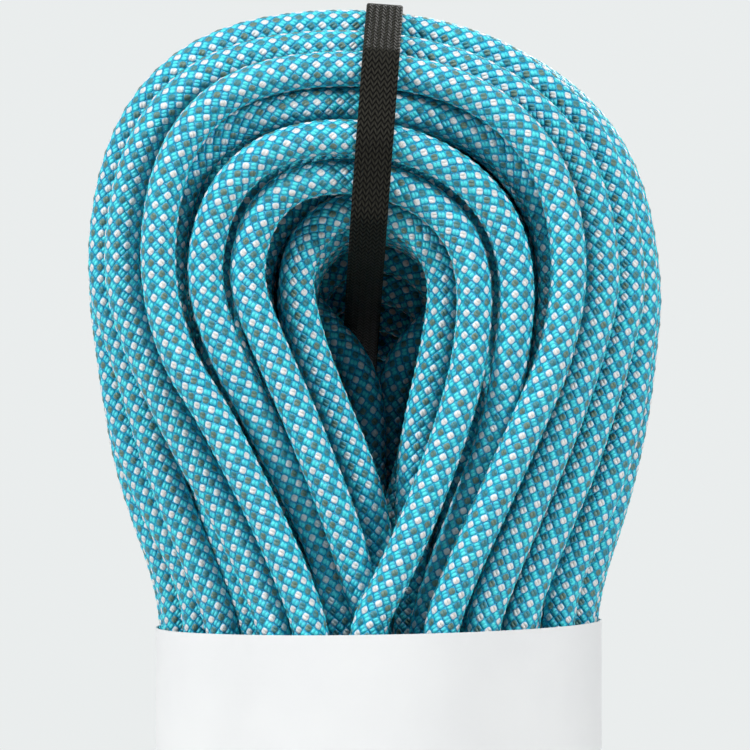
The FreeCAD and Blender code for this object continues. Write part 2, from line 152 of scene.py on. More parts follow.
def make_turn(lap, order):
    """One turn of a lap; order 0 is the outermost."""
    form = lap_form(lap)
    inward = order / (TURNS[lap] - 1)
    outer_arch = HAND_LAID.get((lap, 0), plain_arch(form["lean"], form["outer"] - ROPE / 2, 1))
    eye_arch = plain_arch(form["lean"], form["eye"] + ROPE / 2, 0)
    arch = between(np.array(outer_arch), eye_arch, inward)
    if (lap, order) in HAND_LAID:
        arch = HAND_LAID[lap, order]
    elif order > 0:
        arch[:3] += rng.uniform(-UNEVEN, UNEVEN, 3)
    left, right, top, square, lean, lift, forward = arch
    half = form["outer"] * FOOT_WIDTH - ROPE / 2
    foot_eye = form["base"] + (form["outer"] - form["eye"]) * FOOT_EYE + form["eye"]
    low = form["base"] + ROPE / 2 + LIFT_OFF
    return {
        "lap": lap, "order": order, "depth": form["depth"], "crown": form["crown"],
        "left": left, "right": right, "top": top,
        "square": square, "lean": lean, "lift": lift, "forward": forward,
        "half": between(half, form["eye"] + ROPE / 2, inward),
        "foot_z": between(FOOT_Z, foot_eye, inward),
        "foot_low": between(low, foot_eye - form["eye"] - ROPE / 2, inward),
    }


turns = []
for lap in range(LAPS):
    orders = range(TURNS[lap])
    if lap % 2 == 0:
        orders = reversed(orders)
    turns += [make_turn(lap, order) for order in orders]
print("crowns laid:", len(turns))

# %% [markdown]
# ## How the legs bunch together
# At the sleeve the legs no longer lie in flat laps. The sleeve squeezes them into an oval bundle,
# in which each strand finds its own place. The bundle is settled here level by level, the way
# marbles settle in a dish: each strand starts where its lap would put it, then any two that are
# closer than a rope's thickness push each other apart, and the sleeve holds them in. The strands
# that one sees from the front keep the places that they are given. A physics bake could do the
# same, but it would be slow and could come out differently each time.

# %% Levels, and the legs that one sees
# Levels are counted down from the crown's centre. Each seen leg has its place to the side and its
# depth at every level above the sleeve, first for the left leg and then for the right one.
ABOVE = [-15, -30, -45, -60, -75, -90]
INSIDE = [-115, -148, -184, -222, -255, -278]
BELOW = [-299, -318, -338, -362]
FRONT_LEGS = {
    (0, 0): (
        [(-55, -47.5), (-45.2, -47.5), (-37.4, -47.5), (-29.9, -48), (-23.3, -48.5), (-17.6, -49)],
        [(48.0, -47.5), (41.8, -47.5), (35.2, -47.5), (28.4, -48.0), (21.6, -48.5), (15.9, -49)],
    ),
    (0, 1): (
        [(-41.4, -47.2), (-33.2, -44), (-25.8, -41), (-18.0, -39), (-12.6, -38.5), (-9.5, -38.5)],
        [(35.9, -46.8), (33.4, -42.6), (28.9, -40.2), (23.0, -38), (17.2, -37.5), (12.5, -37.5)],
    ),
    (0, 2): (
        [(-28.6, -47.5), (-21.9, -47.5), (-16.0, -47.3), (-10.2, -46), (-5.9, -43), (-1.4, -40)],
        [(24.9, -47.5), (21.2, -47.7), (16.2, -48.2), (10.4, -49), (3.8, -49.8), (-4.2, -50)],
    ),
    (1, 0): (
        [(-64, -38.2), (-56.8, -39), (-48.8, -40.5), (-40.2, -42.2), (-33, -43.6), (-27.6, -44.7)],
        [(56.6, -38.2), (51.6, -39), (45.6, -40.5), (39.0, -42.2), (32.6, -43.8), (27.0, -44.9)],
    ),
    (1, 3): (
        [(-18.2, -38), (-12.2, -37.6), (-6.0, -37), (-1.2, -35), (-1.0, -31), (-1.2, -28)],
        [(15.8, -38), (12.2, -38), (9.6, -37.2), (9.4, -34), (8.8, -30), (8.6, -28)],
    ),
    (2, 0): (
        [(-68.8, -28.8), (-64.3, -29.8), (-59.6, -31.3),
         (-53.6, -33), (-47.4, -34.4), (-41.6, -35)],
        [(64.6, -28.8), (60.2, -29.8), (55.3, -31.6), (48.6, -34), (42.3, -36.4), (37.2, -38.7)],
    ),
}
print("levels:", ABOVE + INSIDE + BELOW)

# %% Waist place of a leg
OUTER_WAIST = [17.0, 27.5, 38.5, 48.5, 54.5, 56.2]  # outermost legs, from an end lap to the middle
INNER_WAIST = 5.0
WAIST_DEPTH = 0.97  # a lap's depth at the waist against its depth at the crown


def on_wall(across):
    """Depth of a strand that lies against the sleeve, at this distance from the middle."""
    return (OVAL[1] - ROPE / 2) * math.sqrt(max(0.0, 1 - (across / (OVAL[0] - ROPE / 2)) ** 2))


def waist_place(turn, side):
    """Where a leg would pass the sleeve if nothing pushed it: side -1 is the left one."""
    outer = OUTER_WAIST[MIDDLE - abs(turn["lap"] - MIDDLE)]
    across = between(outer, INNER_WAIST, turn["order"] / (TURNS[turn["lap"]] - 1))
    depth = WAIST_DEPTH * turn["depth"]
    if turn["order"] == 0 and turn["lap"] != MIDDLE:
        depth = math.copysign(on_wall(outer), depth)
    return np.array([side * across, depth])


print("front lap at the waist:", [waist_place(turn, 1).round(1).tolist() for turn in turns[:3]])

# %% Bend of a leg by itself
BEND_RADIUS = 40.0  # where a leg turns into the waist
LEAST_SHIFT = 0.5


def leg_bend(drop, height, wide, narrow):
    """The S of two arcs from the crown's side to the waist, as a CAD lap has it."""
    side = max(wide - narrow, LEAST_SHIFT)
    whole = (side ** 2 + height ** 2) / (2 * side)
    blend = min(BEND_RADIUS, whole / 2)
    drop = min(max(drop, 0.0), height)
    if drop < height * (1 - blend / whole):
        radius = whole - blend
        return wide - radius + math.sqrt(radius ** 2 - drop ** 2)
    return narrow + blend - math.sqrt(blend ** 2 - (height - drop) ** 2)


def ease(share):
    """0 to 1 with a soft start and a soft end."""
    share = min(1.0, max(0.0, share))
    return share * share * (3 - 2 * share)


def half_width(turn, side):
    """How far a turn's left or right side is from the middle, at its crown."""
    return turn["right"] if side > 0 else -turn["left"]


def leg_above(turn, side, level):
    """A leg's unpushed place between its crown and the sleeve."""
    waist = waist_place(turn, side)
    drop = turn["crown"] - CROWN_Z - level
    height = turn["crown"] - CROWN_Z - ABOVE[-1]
    across = leg_bend(drop, height, half_width(turn, side), abs(waist[0]))
    depth = turn["depth"] + (waist[1] - turn["depth"]) * ease(drop / height)
    return np.array([side * across, depth])


def leg_below(turn, side, level):
    """The same between the sleeve and the foot."""
    waist = waist_place(turn, side)
    rise = level - (turn["foot_z"] - CROWN_Z)
    height = INSIDE[-1] - (turn["foot_z"] - CROWN_Z)
    across = leg_bend(rise, height, turn["half"], abs(waist[0]))
    depth = turn["depth"] + (waist[1] - turn["depth"]) * ease(rise / height)
    return np.array([side * across, depth])


widest = next(turn for turn in turns if turn["lap"] == MIDDLE and turn["order"] == 0)
down_the_side = [round(float(leg_above(widest, 1, level)[0]), 1) for level in ABOVE]
print("the widest leg on its way down:", down_the_side)

# %% Push strands apart
FAR = 1e3
FROM_FREE, FROM_FIXED = 0.5, 0.95  # share of an overlap that a strand makes up for
GIVES_WAY = 0.6  # share of a push that is followed in one round
ROUNDS, TOUCH_UP_ROUNDS, SLEEVE_ROUNDS = 260, 60, 120


def to_each_other(places):
    """The way and the distance from every strand to every other one; none is near itself."""
    apart = places[:, None, :] - places[None, :, :]
    return apart, np.linalg.norm(apart, axis=2) + np.eye(len(places)) * FAR


def settle(places, fixed, squeezed, reach=None, rounds=ROUNDS):
    """Pushes strands apart until none overlap; squeezed keeps them inside the sleeve.

    reach is how far from the middle a strand may be, so that nothing bulges past the outline.
    """
    places = places.copy()
    wall = np.array(OVAL) - ROPE / 2
    for _ in range(rounds):
        apart, distance = to_each_other(places)
        overlap = np.clip(ROPE - distance, 0, None)
        share = np.where(fixed[None, :], FROM_FIXED, FROM_FREE)
        push = (apart / distance[..., None] * (overlap * share)[..., None]).sum(axis=1)
        places[~fixed] += GIVES_WAY * push[~fixed]
        if squeezed:
            out = np.linalg.norm(places / wall, axis=1)
            outside = (out > 1) & ~fixed
            places[outside] /= out[outside, None]
        if reach is not None:
            places[:, 0] = np.clip(places[:, 0], -reach, reach)
            places[:, 1] = np.clip(places[:, 1], -wall[1], wall[1])
    return places


pair = settle(np.array([[-1.0, 0.0], [1.0, 0.0]]), np.zeros(2, bool), False)
print("two strands 2 mm apart settle at", round(float(pair[1, 0] - pair[0, 0]), 2), "mm")

# %% Legs with a place of their own
STRAIGHT_LAPS = (3, 4, 5)  # their outermost legs keep the outline
CLOSED_LAPS = (5, 7)  # their innermost legs close the eye, one behind the other
CLOSED_AFTER = 22.0
CLOSED_ACROSS, CLOSED_DEPTH = 2.5, 4.3
REACH_SPARE = 0.3


def front_leg(turn, side, level):
    """The given place of a leg that isn't pushed, or None."""
    lap, order = turn["lap"], turn["order"]
    if (lap, order) in FRONT_LEGS:
        return np.array(FRONT_LEGS[lap, order][(side + 1) // 2][ABOVE.index(level)])
    if order == 0 and lap in STRAIGHT_LAPS:
        return leg_above(turn, side, level)
    if lap in CLOSED_LAPS and order == TURNS[lap] - 1:
        share = ease((turn["crown"] - CROWN_Z - level) / CLOSED_AFTER)
        wide = half_width(turn, side)
        across = wide + (CLOSED_ACROSS - wide) * share
        return np.array([side * across, turn["depth"] + side * CLOSED_DEPTH * share])
    return None


def hank_reach(level):
    """How far from the middle the widest leg is: nothing bulges past it."""
    place = (leg_above if level in ABOVE else leg_below)(widest, 1, level)
    return abs(place[0]) + REACH_SPARE


print("the hank's half width:", [round(float(hank_reach(level)), 1) for level in ABOVE])

# %% Legs above the sleeve
# Leg number 2m is the left leg of turn m, 2m + 1 its right leg.
SIDES = (-1, 1)
PUSH_ABOVE, PUSH_BELOW = (-10.0, -35.0), (-380.0, -320.0)  # levels with no push, and with all of it
CARRIED = 0.9  # share of one level's push that the next level starts with
CROWN_SPARE = 6.0


def settle_level(start, first, fixed, level, squeezed, push):
    """The strands of a level, settled, with the push fading out towards the crown or the foot."""
    reach = hank_reach(level)
    settled = settle(first, fixed, squeezed, reach)
    mixed = start + (settled - start) * ease((level - push[0]) / (push[1] - push[0]))
    return settle(mixed, fixed, squeezed, reach, TOUCH_UP_ROUNDS)


def settle_above():
    """Places of all legs at the levels above the sleeve, worked from the sleeve up."""
    found, moved = {}, 0.0
    for level in reversed(ABOVE):
        start, fixed = [], []
        for turn in turns:
            for side in SIDES:
                given = front_leg(turn, side, level)
                start.append(leg_above(turn, side, level) if given is None else given)
                fixed.append(given is not None or turn["crown"] - CROWN_Z < level + CROWN_SPARE)
        start, fixed = np.array(start), np.array(fixed)
        first = start + np.where(fixed[:, None], 0, moved)
        found[level] = settle_level(start, first, fixed, level, level == ABOVE[-1], PUSH_ABOVE)
        moved = (found[level] - start) * CARRIED
    return found


legs = settle_above()
print("settled above the sleeve:", len(turns) * 2, "legs at", len(legs), "levels")

# %% Legs below the sleeve and inside it
# Below the sleeve a turn's right leg goes round the foot and comes up as the next turn's left leg.
# The first and the last leg of all are the rope's two ends.
FRONT_TAIL = np.array([0.0, -48.35])
REAR_TAIL = np.array([0.0, 48.35])


def settle_below():
    """Places of all legs at the levels below the sleeve, worked from the sleeve down."""
    found, moved = {}, 0.0
    for level in [INSIDE[-1]] + BELOW:
        start = [FRONT_TAIL]
        for turn in turns:
            start += [leg_below(turn, 1, level), leg_below(turn, -1, level)]
        start = np.array(start[:-2] + [REAR_TAIL])
        fixed = np.zeros(len(start), bool)
        fixed[[0, -1]] = True
        squeezed = level >= BELOW[0]
        found[level] = settle_level(start, start + moved, fixed, level, squeezed, PUSH_BELOW)
        moved = np.where(fixed[:, None], 0, (found[level] - start) * CARRIED)
    return found


def settle_inside(top, bottom):
    """Between the sleeve's edges each leg changes from its upper to its lower place."""
    found = {}
    free = np.zeros(len(top), bool)
    for level in INSIDE[:-1]:
        share = ease((ABOVE[-1] - level) / (ABOVE[-1] - INSIDE[-1]))
        found[level] = settle(between(top, bottom, share), free, True, rounds=SLEEVE_ROUNDS)
    return found


legs.update(settle_below())
legs.update(settle_inside(legs[ABOVE[-1]], legs[INSIDE[-1]]))
for level in sorted(legs, reverse=True):
    distance = to_each_other(legs[level])[1]
    pair = divmod(int(distance.argmin()), len(distance))
    named = [(turns[n // 2]["lap"], turns[n // 2]["order"], "LR"[n % 2]) for n in pair]
    print("level", level, "closest strands", round(float(distance.min()), 2), "mm", named)

# %% [markdown]
# ## The rope's line
# A rope's line is one smooth curve. Straight pieces would show their corners, and a Bezier curve
# has two handles to set at every point. So each lap is a single NURBS spline whose control points
# go up the left leg, over the crown, down the right leg and round the foot, turn after turn. The
# next turn's left leg starts where the last foot ends, and the shift from one turn to the next
# happens under the sleeve, where nobody sees it.

# %% Points over the crown and round the foot
# A spline cuts inside its control points, so those of an arc stand a little outside it.
CROWN_STEP, FOOT_STEP = 22.5, 28
CROWN_ANGLES = np.radians(np.arange(180, -1, -CROWN_STEP))
FOOT_ANGLES = np.radians([-28, -57, -84])
CROWN_PULL = 4 / (3 + math.cos(math.radians(CROWN_STEP)))
FOOT_PULL = 4 / (3 + math.cos(math.radians(FOOT_STEP)))


def crown_points(turn):
    """Over the arch, from its left side to its right one."""
    middle, half = (turn["left"] + turn["right"]) / 2, (turn["right"] - turn["left"]) / 2
    points = []
    for angle in CROWN_ANGLES:
        c, s = math.cos(angle), abs(math.sin(angle))
        across = half * CROWN_PULL * math.copysign(abs(c) ** (2 / turn["square"]), c)
        up = (turn["top"] - turn["lift"]) * CROWN_PULL * s ** (2 / turn["square"])
        points.append((
            middle + across - turn["lean"] * s * s,
            turn["depth"] - turn["forward"] * s * s,
            turn["crown"] + turn["lift"] + up,
        ))
    return points


def foot_points(turn):
    """Round the bow at the foot, from its right side to its left one."""
    radius = turn["foot_z"] - turn["foot_low"]
    flat = turn["half"] - radius
    right = [
        (flat + radius * FOOT_PULL * math.cos(a), turn["depth"],
         turn["foot_z"] + radius * FOOT_PULL * math.sin(a))
        for a in FOOT_ANGLES
    ]
    left = [(-x, y, z) for x, y, z in reversed(right)]
    side = (turn["half"], turn["depth"], turn["foot_z"])
    return [side] + right + left + [(-side[0], side[1], side[2])]


print("points over a crown:", len(crown_points(turns[0])))
print("points round a foot:", len(foot_points(turns[0])))

# %% Points of a whole lap
CUT = -184  # the level, inside the sleeve, where one lap ends and the next begins
LEG_START = 8  # how far below its crown's centre a leg's first point is, at least
TAIL_STEP = 18  # between the last two points of a rope end


def leg_points(strand, levels, ceiling=CROWN_Z):
    """A leg's settled places at these levels, as far up as its crown allows."""
    return [(*legs[n][strand], CROWN_Z + n) for n in levels if CROWN_Z + n < ceiling - LEG_START]


def lap_points(lap):
    """One lap's control points, from the middle of the sleeve, or a rope end, and back to it."""
    down = ABOVE + INSIDE + BELOW
    up = down[::-1]
    points = []
    numbers = [m for m, turn in enumerate(turns) if turn["lap"] == lap]
    for m in numbers:
        turn = turns[m]
        if m == 0:
            points += [(*FRONT_TAIL, TAIL_END), (*FRONT_TAIL, TAIL_END + TAIL_STEP)]
        climb = up if m != numbers[0] or m == 0 else [n for n in up if n >= CUT]
        points += leg_points(2 * m, climb, turn["crown"])
        points += crown_points(turn)
        points += leg_points(2 * m + 1, down, turn["crown"])
        if m < len(turns) - 1:
            points += foot_points(turn)
        else:
            points += [(*REAR_TAIL, TAIL_END + TAIL_STEP), (*REAR_TAIL, TAIL_END)]
    if m < len(turns) - 1:
        points += leg_points(2 * m + 2, [n for n in up if n <= CUT])
    return points


for lap in range(LAPS):
    print("lap", lap + 1, "has", len(lap_points(lap)), "control points")


# %% Line of each lap
def smooth_line(name, points):
    """The points of a NURBS spline through these control points, in millimetres."""
    curve = bpy.data.curves.new(name, "CURVE")
    curve.dimensions = "3D"
    curve.resolution_u = 8
    spline = curve.splines.new("NURBS")
    spline.points.add(len(points) - 1)
    spline.points.foreach_set("co", [v for p in points for v in (*p, 1.0)])
    spline.order_u = 3
    spline.use_endpoint_u = True
    holder = bpy.data.objects.new(name, curve)
    bpy.context.collection.objects.link(holder)
    mesh = bpy.data.meshes.new_from_object(holder)
    line = np.zeros(len(mesh.vertices) * 3)
    mesh.vertices.foreach_get("co", line)
    bpy.data.objects.remove(holder)
    bpy.data.meshes.remove(mesh)
    return line.reshape(-1, 3)


lines = [smooth_line(f"lap_{lap + 1:02d}_line", lap_points(lap)) for lap in range(LAPS)]
lengths = [float(np.linalg.norm(np.diff(line, axis=0), axis=1).sum()) for line in lines]
print("metres in each lap:", [round(n * MM, 2) for n in lengths])
print("metres of rope:", round(sum(lengths) * MM, 2))

# %% [markdown]
# ## From a line to a braided rope
# The sheath is a braid of forty bobbins: twenty columns of small square floats round the rope, in
# rows half a float apart, like bricks. A smooth pipe with the braid only painted on would have too
# clean an edge. A tube whose vertices sit exactly on that lattice can give every float its own
# little hump: the vertex in a float's middle is raised, and the ones at its corners are sunk. The
# mesh carries a UV map that counts columns round and rows along, so the material can colour each
# float.

# %% Rings along the line
COLUMNS = 20
ROW = 1.53  # from one row of floats to the next
HUMP, HOLLOW = 0.08, -0.22
TWIST = math.radians(0.12)  # how far the columns wind round in each millimetre


def frames(ring_centres):
    """For each ring two directions across the rope; a lap is flat, so one is nearly its depth."""
    along = np.gradient(ring_centres, axis=0)
    along /= np.linalg.norm(along, axis=1)[:, None]
    back = np.zeros_like(along)
    back[:, 1] = 1.0
    back -= along * (back * along).sum(axis=1)[:, None]
    back /= np.linalg.norm(back, axis=1)[:, None]
    return np.cross(back, along), back


def ring_places(line):
    """Ring centres, one row apart along the line."""
    steps = np.linalg.norm(np.diff(line, axis=0), axis=1)
    at = np.concatenate([[0.0], np.cumsum(steps)])
    rows = int(at[-1] / ROW)
    wanted = np.linspace(0, at[-1], rows + 1)
    return np.stack([np.interp(wanted, at, line[:, i]) for i in range(3)], axis=1)


float_width = round(2 * math.pi * ROPE / COLUMNS, 2)
print("a float measures", float_width, "by", 2 * ROW, "mm from corner to corner")


# %% Lattice of the braid
def lattice_points(centres, start_angle):
    """The tube's vertices: raised in the middle of a float, sunk at its corners."""
    side, back = frames(centres)
    row, column = np.meshgrid(np.arange(len(centres)), np.arange(COLUMNS), indexing="ij")
    raised = (row + column) % 2 == 0
    radius = ROPE / 2 + np.where(raised, HUMP, HOLLOW)
    angle = start_angle + 2 * math.pi * column / COLUMNS + row * ROW * TWIST
    across = np.cos(angle)[..., None] * side[:, None] + np.sin(angle)[..., None] * back[:, None]
    return (centres[:, None] + radius[..., None] * across).reshape(-1, 3) * MM


def lattice_faces(rings):
    """Triangles between the rings, and the column and row of each of their corners.

    Every square is cut from hollow to hollow, so that a float keeps its hump.
    """
    row, column = np.meshgrid(np.arange(rings - 1), np.arange(COLUMNS), indexing="ij")
    row, column = row.ravel(), column.ravel()
    even = (row + column) % 2 == 0
    cuts = (
        (even, (((0, 0), (0, 1), (1, 0)), ((0, 1), (1, 1), (1, 0)))),
        (~even, (((0, 0), (0, 1), (1, 1)), ((0, 0), (1, 1), (1, 0)))),
    )
    faces, marks = [], []
    for here, triangles in cuts:
        for triangle in triangles:
            corners = [(row[here] + up, column[here] + on) for up, on in triangle]
            faces.append(np.stack([r * COLUMNS + c % COLUMNS for r, c in corners], axis=1))
            marks.append(np.stack([np.stack([c, r], axis=1) for r, c in corners], axis=1))
    return np.concatenate(faces), np.concatenate(marks).astype(float)


print("triangles between two rings:", len(lattice_faces(2)[0]))


# %% Braided tube
def braided_tube(name, line, start_angle):
    """A closed tube round the line, with the braid's lattice for its vertices."""
    centres = ring_places(line)
    rings = len(centres)
    points = lattice_points(centres, start_angle)
    faces, marks = lattice_faces(rings)
    first_end = np.arange(COLUMNS)[::-1]
    last_end = np.arange((rings - 1) * COLUMNS, rings * COLUMNS)
    mesh = bpy.data.meshes.new(name)
    mesh.vertices.add(len(points))
    mesh.vertices.foreach_set("co", points.ravel())
    mesh.loops.add(faces.size + 2 * COLUMNS)
    mesh.loops.foreach_set("vertex_index", np.concatenate([faces.ravel(), first_end, last_end]))
    mesh.polygons.add(len(faces) + 2)
    starts = np.concatenate([np.arange(len(faces)) * 3, faces.size + np.array([0, COLUMNS])])
    mesh.polygons.foreach_set("loop_start", starts)
    uv = mesh.uv_layers.new(name="Braid")
    flat = np.concatenate([marks.reshape(-1, 2), np.zeros((2 * COLUMNS, 2))])
    uv.data.foreach_set("uv", flat.ravel())
    mesh.update(calc_edges=True)
    mesh.polygons.foreach_set("use_smooth", np.ones(len(mesh.polygons), bool))
    mesh.validate()
    tube = bpy.data.objects.new(name, mesh)
    bpy.context.collection.objects.link(tube)
    return tube, centres * MM


# %% The eleven laps of rope
FIRST_ANGLE, ANGLE_STEP = 0.4, 1.7  # so that the braid starts elsewhere on each lap

cords = []
for lap, line in enumerate(lines):
    tube, path = braided_tube(f"rope_lap_{lap + 1:02d}", line, FIRST_ANGLE + ANGLE_STEP * lap)
    cords.append((tube, path))
    print(tube.name, len(tube.data.polygons), "faces")
bpy.context.view_layer.update()

ROPE_ENDS = {0: "front_end", LAPS - 1: "rear_end"}

for lap, (tube, path) in enumerate(cords):
    end = ROPE_ENDS.get(lap)
    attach(tube, "hank")
    stood_for = [f"lap_{lap + 1:02d}"] + ([f"{end}_sheath"] if end else [])
    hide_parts(*stood_for)

# %% [markdown]
# ## The strap
# Ten millimetres of black webbing goes over the crown, down the front, back through the eye and up
# behind, where its ends overlap and are stitched. A line drawn by hand would sink into some laps
# and float over others. The strap is pulled tight over the rope, so its line is the outline that a
# string would take round the laps, seen from the side: a convex hull of the places where it bears,
# pushed out by half a rope's thickness. It can shift a little to either side, so the hull is taken
# over everything that it may come to lie on.

# %% The strap's line
STRAP_WIDE, STRAP_THICK = 10.0, 1.1
STRAP_X, STRAP_TILT = -4.2, math.radians(4.2)
STRAP_SAG = 6.0  # how far below the lowest arches it passes through the eye
STRAP_GAP = 0.25
STRAP_SHIFTS = np.radians([-5.0, -2.5, 0.0, 2.5, 5.0])
ARCH_START = 10.0  # only the rope above this, from the crown's centre, can bear the strap


def strands_under(lap):
    """Depth and height of a lap's arches, seen from the strap, wherever it may shift to."""
    x, y, z = lines[lap].T
    z = z - CROWN_Z
    arch = z > lap_form(lap)["crown"] - CROWN_Z + ARCH_START
    found = []
    for swing in STRAP_SHIFTS:
        swung_x = x * math.cos(swing) + z * math.sin(swing) - STRAP_X
        swung_z = z * math.cos(swing) - x * math.sin(swing)
        across = swung_x * math.cos(STRAP_TILT) - swung_z * math.sin(STRAP_TILT)
        height = swung_x * math.sin(STRAP_TILT) + swung_z * math.cos(STRAP_TILT)
        near = arch & (abs(across) < STRAP_WIDE / 2)
        found.append(np.stack([y[near], height[near]], axis=1))
    return np.concatenate(found)


def outline(places):
    """The convex hull of places in a plane, counter-clockwise."""
    places = sorted(set(places))
    halves = []
    for row in (places, places[::-1]):
        half = []
        for place in row:
            while len(half) > 1:
                (ax, ay), (bx, by) = half[-2], half[-1]
                if (bx - ax) * (place[1] - ay) - (by - ay) * (place[0] - ax) > 0:
                    break
                half.pop()
            half.append(place)
        halves.append(half[:-1])
    return halves[0] + halves[1]


arches = [strands_under(lap) for lap in range(LAPS)]
bearing = [tuple(place) for lap in arches for place in lap]
bearing += [
    (PITCH * (lap - MIDDLE), arches[lap][:, 1].min() - STRAP_SAG) for lap in (0, 1, LAPS - 1)
]
hull = outline([(round(float(y), 3), round(float(z), 3)) for y, z in bearing])
print("the strap turns round", len(hull), "places")

# %% Points of the strap's line
LINE_STEP = 0.5


def strap_line(offset):
    """Points every half millimetre or so round the hull, at this distance from its corners."""
    points = []
    for n, (y, z) in enumerate(hull):
        before, after = hull[n - 1], hull[(n + 1) % len(hull)]
        first = math.atan2(z - before[1], y - before[0]) - math.pi / 2
        last = math.atan2(after[1] - z, after[0] - y) - math.pi / 2
        while last < first - 1e-9:
            last += 2 * math.pi
        steps = max(2, int((last - first) * offset / LINE_STEP) + 1)
        for angle in np.linspace(first, last, steps):
            points.append((y + offset * math.cos(angle), z + offset * math.sin(angle)))
        straight = math.dist((y, z), after)
        for part in np.arange(LINE_STEP, straight - LINE_STEP / 2, LINE_STEP) / straight:
            points.append((
                y + (after[0] - y) * part + offset * math.cos(last),
                z + (after[1] - z) * part + offset * math.sin(last),
            ))
    return np.array(points)


middle_line = ROPE / 2 + STRAP_GAP + STRAP_THICK / 2
loop_line = strap_line(middle_line)
print("points round the strap:", len(loop_line))

# %% Webbing
ACROSS = 9  # points across a face of the band
CORNER_IN, CORNER_UP = 0.3, 0.7  # of half its thickness, at a selvedge's rounded corner
CORNER_COUNT = 0.03


def webbing_section():
    """The band's outline, with rounded selvedges: places across it, sides and weave counts.

    Side 1 is the outer face. The count runs from 0 to 1 on it and from 1 to 2 on the inner one.
    """
    half, edge = STRAP_WIDE / 2, STRAP_THICK / 2
    across = np.linspace(-half + edge, half - edge, ACROSS)
    corner = half - edge * CORNER_IN
    section = [(x, 1.0, x / STRAP_WIDE + 0.5) for x in across]
    section += [(corner, CORNER_UP, 1 - CORNER_COUNT), (half, 0.0, 1.0)]
    section += [(corner, -CORNER_UP, 1 + CORNER_COUNT)]
    section += [(x, -1.0, 1.5 - x / STRAP_WIDE) for x in across[::-1]]
    section += [(-corner, -CORNER_UP, 2 - CORNER_COUNT), (-half, 0.0, 2.0)]
    section += [(-corner, CORNER_UP, CORNER_COUNT)]
    return section


def webbing(name, line, closed):
    """A woven band along a line of (depth, height) places."""
    line = np.asarray(line)
    if closed:
        along = np.roll(line, -1, axis=0) - np.roll(line, 1, axis=0)
    else:
        along = np.gradient(line, axis=0)
    along /= np.linalg.norm(along, axis=1)[:, None]
    outward = np.stack([along[:, 1], -along[:, 0]], axis=1)
    section = webbing_section()
    steps = np.linalg.norm(np.diff(np.vstack([line, line[:1]]), axis=0), axis=1)
    at = np.concatenate([[0.0], np.cumsum(steps)])
    points, faces, marks = [], [], []
    for place, out in zip(line, outward):
        for x, side, _ in section:
            y, z = place + out * side * STRAP_THICK / 2
            turned_x = STRAP_X + x * math.cos(STRAP_TILT) + z * math.sin(STRAP_TILT)
            turned_z = CROWN_Z - x * math.sin(STRAP_TILT) + z * math.cos(STRAP_TILT)
            points.append((turned_x * MM, y * MM, turned_z * MM))
    count, rings = len(section), len(line)
    for ring in range(rings if closed else rings - 1):
        for n in range(count):
            m = (n + 1) % count
            a, b = ring * count, (ring + 1) % rings * count
            faces.append((a + n, a + m, b + m, b + n))
            u, v = section[n][2], section[m][2]
            if u > v + 1:  # the count starts again here
                u = 0.0
            marks += [(u, at[ring]), (v, at[ring]), (v, at[ring + 1]), (u, at[ring + 1])]
    if not closed:
        for ring, order in ((0, -1), (rings - 1, 1)):
            faces.append(tuple(range(ring * count, (ring + 1) * count))[::order])
            marks += [(0.5, at[ring])] * count
    mesh = bpy.data.meshes.new(name)
    mesh.from_pydata(points, [], faces)
    uv = mesh.uv_layers.new(name="Weave")
    uv.data.foreach_set("uv", np.array(marks, float).ravel())
    mesh.polygons.foreach_set("use_smooth", np.ones(len(mesh.polygons), bool))
    mesh.validate()
    band = bpy.data.objects.new(name, mesh)
    bpy.context.collection.objects.link(band)
    return band


print("points round the band:", len(webbing_section()))

# %% Loop and overlap
OVERLAP = 24.0

strap = webbing("strap_loop", loop_line, True)
back = max(y for y, z in hull) + middle_line + STRAP_THICK
behind = (arches[-1][:, 1].max() + arches[-1][:, 1].min() - STRAP_SAG) / 2
flap_heights = np.arange(behind - OVERLAP / 2, behind + OVERLAP / 2 + 0.01, LINE_STEP)
flap = webbing("strap_overlap", [(back, z) for z in flap_heights], False)
for band in (strap, flap):
    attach(band, "strap")
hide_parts("hang_strap")
print("webbing faces:", len(strap.data.polygons), "and", len(flap.data.polygons))

# %% [markdown]
# ## The strap's stitching
# Three bar tacks hold the overlap: each is a short row of thread that runs to and fro across the
# webbing. Each stitch could be modelled by itself, but every change would then have to be made
# dozens of times. They are all alike, so a Geometry Nodes tree lays them: points along each row,
# and on each point a little thread that leans the other way from its neighbour. Node trees take
# many lines to write, so three small helpers come first; the materials use them too.

# %% Helpers for node trees
def put(tree, value, socket):
    """Joins another node's output to a socket, or sets the socket's own value."""
    if isinstance(value, bpy.types.NodeSocket):
        tree.links.new(value, socket)
    else:
        socket.default_value = value


def add_node(tree, kind, inputs=None, **settings):
    """A new node; inputs gives its sockets, by name or by number."""
    node = tree.nodes.new(kind)
    for name, value in settings.items():
        setattr(node, name, value)
    for name, value in (inputs or {}).items():
        put(tree, value, node.inputs[name])
    return node


def reckon(tree, operation, *values, clamp=False):
    """The result of a Math node."""
    inputs = dict(enumerate(values))
    node = add_node(tree, "ShaderNodeMath", inputs, operation=operation, use_clamp=clamp)
    return node.outputs[0]


print("helpers:", [helper.__name__ for helper in (put, add_node, reckon)])

# %% Stitch tree
STITCH_ROWS = 3
STITCHES = 12
STITCH_UNEVEN = 0.07
STITCH_SIZES = (
    ("Row width", "NodeSocketFloat", 0.0084),
    ("Row spacing", "NodeSocketFloat", 0.007),
    ("Stitches", "NodeSocketInt", STITCHES),
    ("Thread radius", "NodeSocketFloat", 0.00022),
    ("Stitch height", "NodeSocketFloat", 0.0017),
    ("Lean", "NodeSocketFloat", 0.32),
    ("Thread", "NodeSocketMaterial", None),
)


